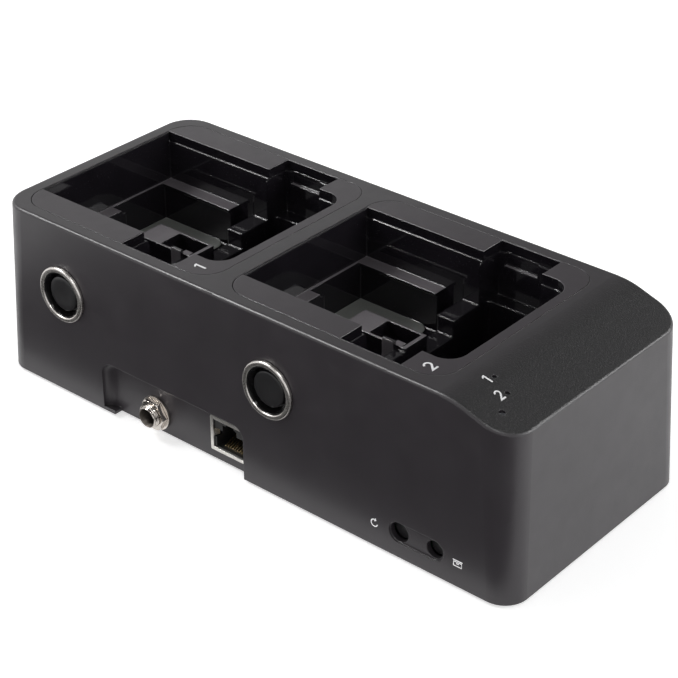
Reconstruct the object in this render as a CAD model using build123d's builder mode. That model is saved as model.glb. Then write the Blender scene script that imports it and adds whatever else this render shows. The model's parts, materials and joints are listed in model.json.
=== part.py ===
from build123d import *
import math
import os

os.makedirs("parts", exist_ok=True)

# ---------------------------------------------------------------- driving sizes, millimetres
# Frame: +X toward the sloped indicator end, -Y is the connector side, +Z up, floor at Z 0.
body_length = 220.0
body_width = 92.4
body_bottom = 1.0
body_top = 65.5
corner_radius_bottom = 8.5
corner_radius_top = 10.8
left_end_draft = 3.2
right_end_draft = 3.2
side_draft = 0.55
wall = 2.5
top_edge_fillet = 1.1

slope_start_x = 86.0
slope_angle = 18.6
slope_blend_radius = 30.0

bay_centres = (-77.6, 15.4)
bay_left = -23.5
bay_right = 59.3
bay_half_width = 30.4
slot_left = 24.8
slot_right = 47.9
slot_half_width = 40.4
slot_low_half_width = 39.3
slot_ledge_top = 57.2
bezel_right = 62.9
bezel_half_width = 40.7
bezel_corner = 9.2
bezel_thickness = 3.5
bezel_bottom = body_top - bezel_thickness

liner_wall = 1.6
near_wall_y = -28.2
back_wall_y = 29.8
shelf_level = 47.2
slot_ledge_level = 46.0
pocket_floor = 33.0
slot_floor = 17.6
slot_seat_half_width = 33.7
pocket_back = 25.4
shelf_front = 24.4
left_block_right = -18.0
block_left = -0.5
block_front = -9.3
block_back = 1.6
near_space_right = 21.2
pad_right = 8.0
shelf_right = 10.5
corner_floor = 32.2
post_left = 18.0
post_front = 15.6
post_low_top = 40.0
well_hole_left = 9.5
well_hole_right = 23.4
well_hole_floor = 35.0
right_space_floor = 53.0
rib_centre = 18.7
rib_top = 48.9

ring_height = 39.8
ring_outer_radius = 10.1
ring_inner_radius = 8.35
ring_sleeve_radius = 9.2
ring_face_y = -45.98

recess_left = -60.8
recess_right = 3.9
recess_top = 20.2
recess_back_y = -43.0

jack_x = -38.0
jack_z = 7.9
jack_thread_radius = 3.97
jack_tip_y = -48.3

socket_centre_x = -4.95
socket_bottom = 4.4
socket_width = 16.1
socket_height = 13.2

reset_x = 67.8
storage_x = 81.4
side_button_z = 10.0
reset_radius = 3.5
storage_radius = 3.1

board_bottom = 4.0
board_thickness = 1.6
board_top = board_bottom + board_thickness

housing_screws = ((-92.0, 40.3), (-92.0, -40.3), (28.0, 40.3), (28.0, -40.3), (97.0, 40.3), (97.0, -40.3))
board_screws_at = ((-50.0, 33.0), (-50.0, -24.0), (8.0, 33.0), (12.0, -24.0))
feet_at = ((-92.0, 30.0), (-92.0, -30.0), (92.0, 27.0), (92.0, -27.0))


def front_plane(y):
    """Sketch plane whose normal points to +Y, local x is +X and local y is -Z."""
    return Plane(origin=(0, y, 0), x_dir=(1, 0, 0), z_dir=(0, 1, 0))


def slope_height(x):
    """Height of the outer top surface on the straight part of the slope."""
    return body_top - (x - slope_start_x) * math.tan(math.radians(slope_angle))


def save(piece, name):
    piece.label = name
    export_step(piece, "parts/" + name + ".step")


# ---------------------------------------------------------------- body envelopes
def body_envelope(inset, top, start=body_bottom):
    """Drafted rounded block of the body, inset all round and ending at the given top."""
    share = (top - body_bottom) / (body_top - body_bottom)
    left = -body_length / 2 + left_end_draft * share + inset
    right = body_length / 2 - right_end_draft * share - inset
    half = body_width / 2 - side_draft * share - inset
    top_radius = corner_radius_top - inset
    with BuildPart() as envelope:
        with BuildSketch(Plane.XY.offset(start)):
            RectangleRounded(
                body_length - 2 * inset,
                body_width - 2 * inset,
                corner_radius_bottom - inset,
            )
        with BuildSketch(Plane.XY.offset(top)):
            with Locations(((left + right) / 2, 0)):
                RectangleRounded(right - left, 2 * half, top_radius)
        loft(ruled=True)
    return envelope.part


def slope_cutter(drop):
    """Everything above the blended sloped end, lowered by the given amount."""
    tangent = slope_blend_radius * math.tan(math.radians(slope_angle) / 2)
    slope_dir = (math.cos(math.radians(slope_angle)), -math.sin(math.radians(slope_angle)))
    level = body_top - drop
    blend_end = (slope_start_x + tangent * slope_dir[0], level + tangent * slope_dir[1])
    far_end = (slope_start_x + 40 * slope_dir[0], level + 40 * slope_dir[1])
    with BuildPart() as cutter:
        with BuildSketch(Plane.XZ):
            with BuildLine():
                TangentArc(
                    (slope_start_x - tangent, level),
                    blend_end,
                    tangent=(1, 0),
                )
                Line(blend_end, far_end)
                Line(far_end, (far_end[0], level + 20))
                Line((far_end[0], level + 20), (slope_start_x - tangent, level + 20))
                Line((slope_start_x - tangent, level + 20), (slope_start_x - tangent, level))
            make_face()
        extrude(amount=80, both=True)
    return cutter.part


outer_block = body_envelope(0, body_top)
outer_slope = slope_cutter(0)
inner_block = body_envelope(wall, body_top - wall, body_bottom - 1)
inner_slope = slope_cutter(wall)
inner_space = inner_block - inner_slope


# ---------------------------------------------------------------- upper housing
with BuildPart() as upper_housing:
    add(outer_block)
    add(outer_slope, mode=Mode.SUBTRACT)
    rim_edges = (
        upper_housing.edges()
        .filter_by(lambda edge: edge.bounding_box().min.Z > 50)
        .filter_by(lambda edge: edge.bounding_box().size.Z < 12)
        .filter_by(lambda edge: abs((edge @ 0.5).Y) > 20 or abs((edge @ 0.5).X) > 104)
    )
    fillet(rim_edges, top_edge_fillet)
    add(inner_space, mode=Mode.SUBTRACT)
    # lining of the connector recess
    with Locations(((recess_left + recess_right) / 2, -42.6, (body_bottom + recess_top + 2) / 2)):
        Box(recess_right - recess_left + 4, 3.2, recess_top + 2 - body_bottom)
    # connector recess, open at the bottom, with a scooped left end
    with BuildSketch(front_plane(-52)):
        with BuildLine():
            Polyline(
                (recess_left + 5.2, 0),
                (recess_left + 5.2, -2.2),
                (recess_left, -2.2),
                (recess_left, -recess_top),
                (recess_right, -recess_top),
                (recess_right, 0),
                (recess_left + 5.2, 0),
            )
        recess_face = make_face()
        top_corners = recess_face.vertices().filter_by(lambda v: v.Y < -10)
        fillet(top_corners, 4.6)
    extrude(amount=52 + recess_back_y, mode=Mode.SUBTRACT)
    # rounded foot of the front wall beside the recess
    with BuildSketch(front_plane(-52)):
        with BuildLine():
            TangentArc(
                (recess_right, -body_bottom - 2.2),
                (recess_right + 2.2, -body_bottom),
                tangent=(0, 1),
            )
            Polyline(
                (recess_right + 2.2, -body_bottom),
                (recess_right + 2.2, 0),
                (recess_right - 1.0, 0),
                (recess_right - 1.0, -body_bottom - 2.2),
                (recess_right, -body_bottom - 2.2),
            )
        make_face()
    extrude(amount=52 + recess_back_y, mode=Mode.SUBTRACT)
    recess_left_edges = (
        upper_housing.edges()
        .filter_by(Axis.Z)
        .filter_by(lambda edge: abs((edge @ 0.5).X - recess_left) < 0.05)
        .filter_by(lambda edge: abs((edge @ 0.5).Y - recess_back_y) < 0.05)
    )
    fillet(recess_left_edges, 2.9)
    # bay openings in the top
    for bay_x in bay_centres:
        with BuildSketch(Plane.XY.offset(bezel_bottom - 3)):
            with Locations((bay_x + (bay_left - 0.75 + bezel_right + 0.2) / 2, 0)):
                RectangleRounded(
                    bezel_right + 0.2 - bay_left + 0.75,
                    2 * bezel_half_width + 0.4,
                    bezel_corner + 0.2,
                )
        extrude(amount=12, mode=Mode.SUBTRACT)
    # round holes for the metal ring bezels, with bosses for their switch boards
    for bay_x in bay_centres:
        with BuildSketch(front_plane(-43.7)):
            with Locations((bay_x - 14, -ring_height), (bay_x + 14, -ring_height)):
                Circle(2.6)
        extrude(amount=9.5)
        with BuildSketch(front_plane(-43.0)):
            with Locations((bay_x - 14, -ring_height), (bay_x + 14, -ring_height)):
                Circle(0.95)
        extrude(amount=9.5, mode=Mode.SUBTRACT)
        with BuildSketch(front_plane(-50)):
            with Locations((bay_x, -ring_height)):
                Circle(ring_sleeve_radius + 0.1)
        extrude(amount=9.5, mode=Mode.SUBTRACT)
    # shallow joining groove and the two side button holes
    with BuildSketch(front_plane(-50)):
        with Locations(((reset_x + storage_x) / 2, -side_button_z)):
            SlotCenterToCenter(storage_x - reset_x, 7.4)
    extrude(amount=50 - 45.55, mode=Mode.SUBTRACT)
    with BuildSketch(front_plane(-50)):
        with Locations((reset_x, -side_button_z)):
            Circle(reset_radius)
        with Locations((storage_x, -side_button_z)):
            Circle(storage_radius)
    extrude(amount=10, mode=Mode.SUBTRACT)
    # screw bosses on the side walls
    for boss_x, boss_y in housing_screws:
        with BuildSketch(Plane.XY.offset(3.1)):
            with Locations((boss_x, boss_y)):
                Circle(3.4)
        extrude(amount=22)
        with BuildSketch(Plane.XY.offset(3.0)):
            with Locations((boss_x, boss_y)):
                Circle(1.25)
        extrude(amount=14, mode=Mode.SUBTRACT)
    # posts carrying the button board
    for post_x in (61.0, 88.5):
        with BuildSketch(front_plane(-43.7)):
            with Locations((post_x, -side_button_z)):
                Circle(2.4)
        extrude(amount=4.0)
    # holes in the recess wall for the two connectors
    with BuildSketch(front_plane(-50)):
        with Locations((jack_x, -jack_z)):
            Circle(jack_thread_radius + 0.15)
    extrude(amount=12, mode=Mode.SUBTRACT)
    with BuildSketch(front_plane(-50)):
        with Locations((socket_centre_x, -(socket_bottom + socket_height / 2))):
            Rectangle(socket_width + 0.4, socket_height + 0.4)
    extrude(amount=12, mode=Mode.SUBTRACT)

# indicator light holes on the sloped end
indicator_spots = ((87.6, -27.4), (93.9, -29.6), (97.8, -37.2))
indicator_radii = (0.8, 0.8, 1.1)
with BuildPart() as indicator_bores:
    for (spot_x, spot_y), spot_radius in zip(indicator_spots, indicator_radii):
        with BuildSketch(Plane.XY.offset(50)):
            with Locations((spot_x, spot_y)):
                Circle(spot_radius)
        extrude(amount=20)
housing_solid = upper_housing.part - indicator_bores.part
save(housing_solid, "upper_housing")


# ---------------------------------------------------------------- bay bezels, wells and contacts
def bay_outline(sketch_z, grow):
    """Closed outline of the bay mouth: main rectangle joined with the wider slot."""
    with BuildSketch(Plane.XY.offset(sketch_z)) as outline:
        with Locations(((bay_left + bay_right) / 2, 0)):
            Rectangle(bay_right - bay_left + 2 * grow, 2 * bay_half_width + 2 * grow)
        right_corners = outline.vertices().group_by(Axis.X)[-1]
        fillet(right_corners, 6.5 + grow)
        with Locations(((slot_left + slot_right) / 2, 0)):
            Rectangle(slot_right - slot_left + 2 * grow, 2 * slot_half_width + 2 * grow)
    return outline.sketch


def make_bezel():
    """Flat frame round the bay mouth, open on its left side."""
    with BuildPart() as bezel:
        with BuildSketch(Plane.XY.offset(bezel_bottom)):
            with Locations(((bay_left - 0.4 + bezel_right) / 2, 0)):
                RectangleRounded(bezel_right - bay_left + 0.4, 2 * bezel_half_width, bezel_corner)
        extrude(amount=bezel_thickness)
        add(extrude(bay_outline(bezel_bottom - 1, 0), amount=10), mode=Mode.SUBTRACT)
        with Locations((bay_left - 4.9, 0, body_top)):
            Box(10, 2 * bay_half_width, 20, mode=Mode.SUBTRACT)
        top_edges = (
            bezel.faces()
            .sort_by(Axis.Z)[-1]
            .edges()
            .filter_by(lambda edge: (edge @ 0.5).X > bay_left + 1)
            .filter_by(lambda edge: abs((edge @ 0.5).Y) < bezel_half_width - 0.1)
            .filter_by(lambda edge: (edge @ 0.5).X < bezel_right - 0.1)
        )
        chamfer(top_edges.filter_by(GeomType.LINE), 0.18)
    return bezel.part


def make_well():
    """Glossy stepped liner that receives a transmitter."""
    with BuildPart() as well:
        # flange that catches under the housing top, with a sunk seat for the bezel
        with BuildSketch(Plane.XY.offset(bezel_bottom - 1.6)):
            with Locations(((bay_left - 1.9 + bezel_right + 2.1) / 2, 0)):
                RectangleRounded(
                    bezel_right - bay_left + 4.0,
                    2 * bezel_half_width + 3.8,
                    bezel_corner + 1.9,
                )
        extrude(amount=body_top - wall - 0.05 - bezel_bottom + 1.6)
        with BuildSketch(Plane.XY.offset(bezel_bottom - 0.05)):
            with Locations(((bay_left - 0.75 + bezel_right + 0.2) / 2, 0)):
                RectangleRounded(
                    bezel_right - bay_left + 0.95,
                    2 * bezel_half_width + 0.4,
                    bezel_corner + 0.2,
                )
        extrude(amount=5, mode=Mode.SUBTRACT)
        # outside of the main bay, the finger slot, the deep pocket and the seat of the slot
        with BuildSketch(Plane.XY.offset(slot_ledge_level - liner_wall)):
            with Locations(((bay_left - 0.6 + slot_left) / 2, 0.9)):
                Rectangle(slot_left - bay_left + 0.6, 2 * 30.9)
            with Locations(((slot_left + slot_right) / 2, 0)):
                Rectangle(
                    slot_right - slot_left + 2 * liner_wall,
                    2 * slot_half_width + 2 * liner_wall - 2.4,
                )
        extrude(amount=bezel_bottom - 1.0 - slot_ledge_level + liner_wall)
        with BuildSketch(Plane.XY.offset(right_space_floor - liner_wall)):
            with Locations(((slot_right + bay_right + liner_wall) / 2, 0)):
                Rectangle(bay_right + liner_wall - slot_right, 2 * (bay_half_width + 1.4))
        extrude(amount=bezel_bottom - 0.6 - right_space_floor + liner_wall)
        with BuildSketch(Plane.XY.offset(pocket_floor - liner_wall)):
            with Locations(((bay_left - 0.6 + 23.4) / 2, (near_wall_y + back_wall_y) / 2)):
                Rectangle(23.4 - bay_left + 0.6, back_wall_y - near_wall_y + 2 * liner_wall)
        extrude(amount=15)
        with BuildSketch(Plane.XY.offset(slot_floor - liner_wall)):
            with Locations(((slot_left + slot_right) / 2, 0)):
                Rectangle(
                    slot_right - slot_left + 2 * liner_wall,
                    2 * slot_seat_half_width + 2 * liner_wall,
                )
        extrude(amount=32)
        # thin rim standing up beside the housing on the open side of the bezel
        with Locations((bay_left - 0.3, 0, (bezel_bottom - 1 + body_top - 0.2) / 2)):
            Box(0.6, 2 * bay_half_width - 0.3, body_top - 0.2 - bezel_bottom + 1)
        # upper space, down to the shelf level
        with BuildSketch(Plane.XY.offset(slot_ledge_level)):
            with Locations(((bay_left + slot_left + 1) / 2, (near_wall_y + back_wall_y) / 2)):
                Rectangle(slot_left + 1 - bay_left, back_wall_y - near_wall_y)
        extrude(amount=30, mode=Mode.SUBTRACT)
        with BuildSketch(Plane.XY.offset(slot_ledge_level)):
            with Locations(((slot_left + slot_right) / 2, 0)):
                Rectangle(slot_right - slot_left, 2 * slot_low_half_width)
        extrude(amount=30, mode=Mode.SUBTRACT)
        # narrow ledge high on both ends of the slot
        with BuildSketch(Plane.XY.offset(slot_ledge_top)):
            with Locations(((27.0 + 40.0) / 2, 0)):
                Rectangle(13.0, 2 * slot_half_width)
        extrude(amount=30, mode=Mode.SUBTRACT)
        with BuildSketch(Plane.XY.offset(right_space_floor)) as right_space:
            with Locations(((slot_right - 1 + bay_right - 0.3) / 2, 0)):
                Rectangle(bay_right - 0.3 - slot_right + 1, 2 * bay_half_width - 0.8)
            fillet(right_space.vertices().group_by(Axis.X)[-1], 6.0)
        extrude(amount=30, mode=Mode.SUBTRACT)
        # rounded shoulder on top of the near wall
        with BuildSketch(Plane.YZ.offset(bay_left)):
            with BuildLine():
                TangentArc((near_wall_y, 59.8), (near_wall_y - 2.2, 62.0), tangent=(0, 1))
                Line((near_wall_y - 2.2, 62.0), (near_wall_y - 2.2, 64.0))
                Line((near_wall_y - 2.2, 64.0), (near_wall_y, 64.0))
                Line((near_wall_y, 64.0), (near_wall_y, 59.8))
            make_face()
        extrude(amount=slot_left - bay_left, mode=Mode.SUBTRACT)
        # back wall set back by a fine step above the mid line
        with Locations(((bay_left + slot_left) / 2, back_wall_y, (54.4 + 70) / 2)):
            Box(slot_left - bay_left, 0.3, 70 - 54.4, mode=Mode.SUBTRACT)
        # seat of the slot
        with BuildSketch(Plane.XY.offset(slot_floor)) as seat:
            with Locations(((slot_left + slot_right) / 2, 0)):
                Rectangle(slot_right - slot_left, 2 * slot_seat_half_width)
            fillet(seat.vertices(), 2.0)
        extrude(amount=40, mode=Mode.SUBTRACT)
        # deep pocket, open to the back right corner, with a rounded pad on its floor
        with BuildSketch(Plane.XY.offset(corner_floor)):
            with Locations(((bay_left + 1.0 + post_left) / 2, (block_back + pocket_back) / 2)):
                Rectangle(post_left - bay_left - 1.0, pocket_back - block_back)
            with Locations(((shelf_right + post_left) / 2, (pocket_back + back_wall_y) / 2)):
                Rectangle(post_left - shelf_right, back_wall_y - pocket_back)
        extrude(amount=40, mode=Mode.SUBTRACT)
        with BuildSketch(Plane.XY.offset(corner_floor)) as pad:
            with Locations(((bay_left + 1.0 + pad_right) / 2, (block_back + pocket_back) / 2)):
                Rectangle(pad_right - bay_left - 1.0, pocket_back - block_back)
            fillet(pad.vertices().filter_by(lambda corner: corner.X > 0).sort_by(Axis.Y)[-1], 5.0)
        extrude(amount=pocket_floor - corner_floor)
        # low saddle between the pocket and the slot, in front of the corner post
        with BuildSketch(Plane.XY.offset(post_low_top)):
            with Locations(((post_left + slot_left) / 2, (block_back + post_front) / 2)):
                Rectangle(slot_left - post_left, post_front - block_back)
        extrude(amount=20, mode=Mode.SUBTRACT)
        with BuildSketch(Plane.XY.offset(pocket_floor)) as left_space:
            with Locations(((left_block_right + block_left) / 2, (near_wall_y + block_back + 1) / 2)):
                Rectangle(block_left - left_block_right, block_back + 1 - near_wall_y)
        extrude(amount=40, mode=Mode.SUBTRACT)
        with BuildSketch(Plane.XY.offset(pocket_floor)) as near_space:
            with Locations(((left_block_right + near_space_right) / 2, (near_wall_y + block_front) / 2)):
                Rectangle(near_space_right - left_block_right, block_front - near_wall_y)
            fillet(near_space.vertices().group_by(Axis.Y)[0], 2.0)
        extrude(amount=40, mode=Mode.SUBTRACT)
        # shelf strip along the back, with a lip over the pocket, and block beside the left wall
        shelf_back = back_wall_y + 0.2
        shelf_middle = ((bay_left + shelf_right) / 2, (shelf_front + shelf_back) / 2)
        with Locations((*shelf_middle, (slot_ledge_level + shelf_level) / 2)):
            Box(shelf_right - bay_left, shelf_back - shelf_front, shelf_level - slot_ledge_level)
        with Locations(
            (
                (bay_left + left_block_right) / 2,
                (near_wall_y - 0.5) / 2,
                (slot_ledge_level + shelf_level) / 2,
            )
        ):
            Box(left_block_right - bay_left, -0.5 - near_wall_y, shelf_level - slot_ledge_level)
        with Locations((bay_left + 0.5, (-0.5 + shelf_front) / 2, (slot_ledge_level + shelf_level) / 2)):
            Box(1.0, shelf_front + 0.5, shelf_level - slot_ledge_level)
        # near block: a flat land, then a deep hole up to the slot wall
        with BuildSketch(Plane.XY.offset(pocket_floor - 0.5)):
            with Locations(((block_left + slot_left) / 2, (block_front + block_back) / 2)):
                Rectangle(slot_left - block_left, block_back - block_front)
        extrude(amount=shelf_level - pocket_floor + 0.5)
        with BuildSketch(Plane.XY.offset(well_hole_floor)) as hole:
            with Locations(((well_hole_left + well_hole_right) / 2, (block_front + block_back) / 2)):
                Rectangle(well_hole_right - well_hole_left, block_back - block_front - 1.4)
            fillet(hole.vertices(), 0.8)
        extrude(amount=20, mode=Mode.SUBTRACT)
        # rib on the near face of the block, with a gusset behind it
        with Locations((rib_centre, block_front - 0.6, (pocket_floor + rib_top) / 2 - 0.25)):
            Box(4.6, 1.4, rib_top - pocket_floor + 0.5)
        with Locations((rib_centre + 2.6, block_front + 1.4, (pocket_floor + shelf_level) / 2)):
            Box(3.4, 2.8, shelf_level - pocket_floor)
        # thin leaning rib where the back wall meets the slot
        with BuildSketch(Plane.XZ.offset(-back_wall_y - 0.2)):
            with BuildLine():
                Polyline(
                    (slot_left, bezel_bottom - 0.4),
                    (post_left, right_space_floor),
                    (post_left, slot_ledge_level - 0.5),
                    (slot_left, slot_ledge_level - 0.5),
                    close=True,
                )
            make_face()
        extrude(amount=0.9)
        # opening in the slot floor for the contact block
        with Locations(((slot_left + slot_right) / 2, 0, slot_floor)):
            Box(8.4, 22.4, 6, mode=Mode.SUBTRACT)
    return well.part


contact_x = (slot_left + slot_right) / 2
contact_pitch = 4.6
contact_spots = [(contact_x, (i - 1.5) * contact_pitch) for i in range(4)]
pin_radius = 0.8
pin_collar_radius = 1.15
pin_top = 21.8


def make_contact_block():
    """Insulating block in the slot floor with a stepped bore for each spring pin."""
    with BuildPart() as block:
        with BuildSketch(Plane.XY.offset(12.6)):
            with Locations((contact_x, 0)):
                Rectangle(8.2, 22.2)
        extrude(amount=slot_floor - 12.6)
        with BuildSketch(Plane.XY.offset(slot_floor)) as cap:
            with Locations((contact_x, 0)):
                Rectangle(10.4, 24.4)
            fillet(cap.vertices(), 1.6)
        extrude(amount=2.0)
        chamfer(block.faces().sort_by(Axis.Z)[-1].edges(), 0.5)
        with BuildSketch(Plane.XY.offset(10)):
            with Locations(*contact_spots):
                Circle(pin_radius + 0.06)
        extrude(amount=12, mode=Mode.SUBTRACT)
        with BuildSketch(Plane.XY.offset(13.4)):
            with Locations(*contact_spots):
                Circle(pin_collar_radius + 0.08)
        extrude(amount=4.8, mode=Mode.SUBTRACT)
    return block.part


def make_contact_pins():
    """Four round-nosed spring pins, each with a collar under the block cap."""
    with BuildPart() as pins:
        for spot in contact_spots:
            with BuildSketch(Plane.XY.offset(14.9)):
                with Locations(spot):
                    Circle(pin_radius)
            extrude(amount=pin_top - 14.9)
            with BuildSketch(Plane.XY.offset(17.1)):
                with Locations(spot):
                    Circle(pin_collar_radius)
            extrude(amount=1.0)
        tips = pins.faces().filter_by(Plane.XY).filter_by(lambda face: face.center().Z > 21).edges()
        fillet(tips, 0.5)
    return pins.part


def make_contact_springs():
    """One coil spring under each pin collar."""
    with BuildPart() as springs:
        for spot_x, spot_y in contact_spots:
            with BuildLine():
                coil = Helix(pitch=0.62, height=3.1, radius=0.98, center=(spot_x, spot_y, 13.7))
            with BuildSketch(Plane(origin=coil @ 0, z_dir=coil % 0)):
                Circle(0.11)
            sweep()
    return springs.part


bezel_shape = make_bezel()
well_shape = make_well()
block_shape = make_contact_block()
pins_shape = make_contact_pins()
springs_shape = make_contact_springs()
for number, bay_x in enumerate(bay_centres, start=1):
    to_bay = Location((bay_x, 0, 0))
    save(to_bay * bezel_shape, f"bay_bezel_{number}")
    save(to_bay * well_shape, f"bay_well_{number}")
    save(to_bay * block_shape, f"contact_block_{number}")
    save(to_bay * pins_shape, f"contact_pins_{number}")
    save(to_bay * springs_shape, f"contact_springs_{number}")


# ---------------------------------------------------------------- printed numerals
def numeral_one(size):
    """Plain figure one, drawn upright, centred on the origin."""
    stroke = 0.16 * size
    with BuildSketch() as figure:
        with Locations((0.1 * size, 0)):
            Rectangle(stroke, size)
        with BuildLine():
            Polyline(
                (0.1 * size - stroke / 2, size / 2),
                (0.1 * size + stroke / 2, size / 2),
                (0.1 * size, 0.36 * size),
                (-0.2 * size, 0.2 * size),
                (-0.2 * size, 0.34 * size),
                (0.1 * size - stroke / 2, size / 2),
            )
        make_face()
    return figure.sketch


def numeral_two(size):
    """Plain figure two, drawn upright, centred on the origin."""
    stroke = 0.15 * size
    reach = 0.25 * size
    with BuildSketch() as figure:
        with BuildLine():
            bowl = CenterArc((0, 0.2 * size), reach, 165, -205)
            bend = Line(bowl @ 1, (-reach, -0.42 * size))
            Line(bend @ 1, (reach * 1.1, -0.42 * size))
        trace(line_width=stroke)
    return figure.sketch


def print_mark(figure, spot, height, tilt=0.0):
    """Thin printed solid of a figure that reads from the +X end."""
    place = Location(spot) * Location((0, 0, 0), (0, tilt, 0)) * Location((0, 0, 0), (0, 0, 90))
    return place * extrude(figure, amount=height)


mark_lift = 0.02
mark_thickness = 0.06
for number, bay_x in enumerate(bay_centres, start=1):
    figure = numeral_one(4.6) if number == 1 else numeral_two(4.6)
    mark_spot = (bay_x + 55.2, -35.8, body_top + mark_lift)
    save(print_mark(figure, mark_spot, mark_thickness), f"bay_numeral_{number}")


def slope_spot(x, y, lift):
    return (x, y, slope_surface(x) + lift)


def slope_surface(x):
    """Height of the blended sloped top at the given x."""
    angle = math.radians(slope_angle)
    tangent = slope_blend_radius * math.tan(angle / 2)
    start = slope_start_x - tangent
    end = slope_start_x + tangent * math.cos(angle)
    if x <= start:
        return body_top
    if x >= end:
        return slope_height(x)
    return body_top - slope_blend_radius + math.sqrt(slope_blend_radius**2 - (x - start) ** 2)


def slope_tilt(x):
    """Tilt of the blended sloped top at the given x, in degrees."""
    angle = math.radians(slope_angle)
    start = slope_start_x - slope_blend_radius * math.tan(angle / 2)
    rise = min(max((x - start) / slope_blend_radius, 0.0), math.sin(angle))
    return math.degrees(math.asin(rise))


panel_figures = ((numeral_one(3.7), 87.0, -30.3), (numeral_two(3.7), 93.2, -32.4))
panel_marks = [
    print_mark(figure, slope_spot(x, y, 0.06), mark_thickness, slope_tilt(x))
    for figure, x, y in panel_figures
]
save(Compound(children=panel_marks), "panel_numerals")


# ---------------------------------------------------------------- round buttons on the connector side
def make_ring():
    """Metal bezel ring: rounded flange on the wall and a sleeve through it."""
    with BuildPart() as ring:
        with BuildSketch(Plane.XY):
            with BuildLine():
                Polyline(
                    (ring_inner_radius, -5.6),
                    (ring_inner_radius, 1.05),
                    (ring_inner_radius + 0.35, 1.3),
                    (ring_outer_radius - 0.7, 1.3),
                )
                TangentArc(
                    (ring_outer_radius - 0.7, 1.3),
                    (ring_outer_radius, 0.6),
                    tangent=(1, 0),
                )
                Polyline(
                    (ring_outer_radius, 0.6),
                    (ring_outer_radius, 0.02),
                    (ring_sleeve_radius, 0.02),
                    (ring_sleeve_radius, -5.6),
                    (ring_inner_radius, -5.6),
                )
            make_face()
        revolve(axis=Axis.Y)
    return ring.part


def make_cup():
    """Glossy cup inside the ring with a bore for the button."""
    with BuildPart() as cup:
        with BuildSketch(Plane.XY):
            with BuildLine():
                Polyline(
                    (6.34, -5.5),
                    (ring_inner_radius - 0.05, -5.5),
                    (ring_inner_radius - 0.05, 0.9),
                    (ring_inner_radius - 0.45, 0.9),
                    (7.1, -3.0),
                    (6.34, -3.0),
                    (6.34, -5.5),
                )
            make_face()
        revolve(axis=Axis.Y)
    return cup.part


def make_round_button():
    """Flat round push button with a stem for the switch behind it."""
    with BuildPart() as button:
        with BuildSketch(Plane.XY):
            with BuildLine():
                Polyline(
                    (0, -0.25),
                    (2.4, -0.2),
                    (5.7, -0.05),
                    (6.27, -0.35),
                    (6.27, -6.6),
                    (1.6, -6.6),
                    (1.6, -8.1),
                    (0, -8.1),
                    (0, -0.25),
                )
            make_face()
        revolve(axis=Axis.Y)
    return button.part


def make_retaining_nut():
    """Round notched nut that clamps the ring sleeve inside the wall."""
    with BuildPart() as nut:
        with BuildSketch(front_plane(0)):
            Circle(11.2)
            Circle(ring_sleeve_radius + 0.05, mode=Mode.SUBTRACT)
            with PolarLocations(11.2, 6):
                Rectangle(1.6, 2.4, mode=Mode.SUBTRACT)
        extrude(amount=2.2)
    return nut.part


def make_switch_board():
    """Small board with a tact switch in its middle."""
    with BuildPart() as board:
        with BuildSketch(front_plane(0)) as outline:
            Rectangle(34, 12)
            fillet(outline.vertices(), 1.5)
            with Locations((-14, 0), (14, 0)):
                Circle(1.3, mode=Mode.SUBTRACT)
        extrude(amount=1.0)
    return board.part


def make_ring_switch():
    """Square tact switch with a short round actuator facing the button."""
    with BuildPart() as switch:
        with BuildSketch(front_plane(-2.9)) as case:
            Rectangle(6.0, 6.0)
            fillet(case.vertices(), 0.5)
        extrude(amount=2.9)
        with BuildSketch(front_plane(-3.1)):
            Circle(1.7)
        extrude(amount=0.4)
    return switch.part


ring_shape = make_ring()
cup_shape = make_cup()
round_button_shape = make_round_button()
nut_shape = make_retaining_nut()
switch_board_shape = make_switch_board()
ring_switch_shape = make_ring_switch()
flip_out = Location((0, 0, 0), (0, 0, 180))
switch_board_y = -34.2
retaining_nuts = []
ring_board_screws = []
for number, bay_x in enumerate(bay_centres, start=1):
    on_face = Location((bay_x, ring_face_y, ring_height)) * flip_out
    save(on_face * ring_shape, f"ring_bezel_{number}")
    save(on_face * cup_shape, f"ring_cup_{number}")
    save(on_face * round_button_shape, f"round_button_{number}")
    save(Location((bay_x, switch_board_y, ring_height)) * switch_board_shape, f"ring_switch_board_{number}")
    save(Location((bay_x, switch_board_y, ring_height)) * ring_switch_shape, f"ring_switch_{number}")
    retaining_nuts.append(Location((bay_x, -43.15, ring_height)) * nut_shape)
    for side in (-14, 14):
        with BuildPart() as small_screw:
            with BuildSketch(front_plane(switch_board_y + 1.0)):
                with Locations((bay_x + side, -ring_height)):
                    Circle(2.0)
            extrude(amount=0.9)
            with BuildSketch(front_plane(switch_board_y - 5)):
                with Locations((bay_x + side, -ring_height)):
                    Circle(0.9)
            extrude(amount=6.0)
        ring_board_screws.append(small_screw.part)
save(Compound(children=retaining_nuts), "ring_retaining_nuts")
save(Compound(children=ring_board_screws), "switch_board_screws")


# ---------------------------------------------------------------- reset and storage buttons
def make_side_button(name, button_x, radius):
    """Recessed cap with a guide stem; the face sits three millimetres inside the wall."""
    with BuildPart() as button:
        with BuildSketch(front_plane(-43.2)):
            with Locations((button_x, -side_button_z)):
                Circle(radius - 0.08)
        extrude(amount=0.9)
        fillet(button.faces().sort_by(Axis.Y)[0].edges(), 0.3)
        with BuildSketch(front_plane(-42.4)):
            with Locations((button_x, -side_button_z)):
                Circle(1.4)
        extrude(amount=0.6)
    save(button.part, name)


make_side_button("reset_button", reset_x, reset_radius)
make_side_button("storage_button", storage_x, storage_radius)

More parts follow.
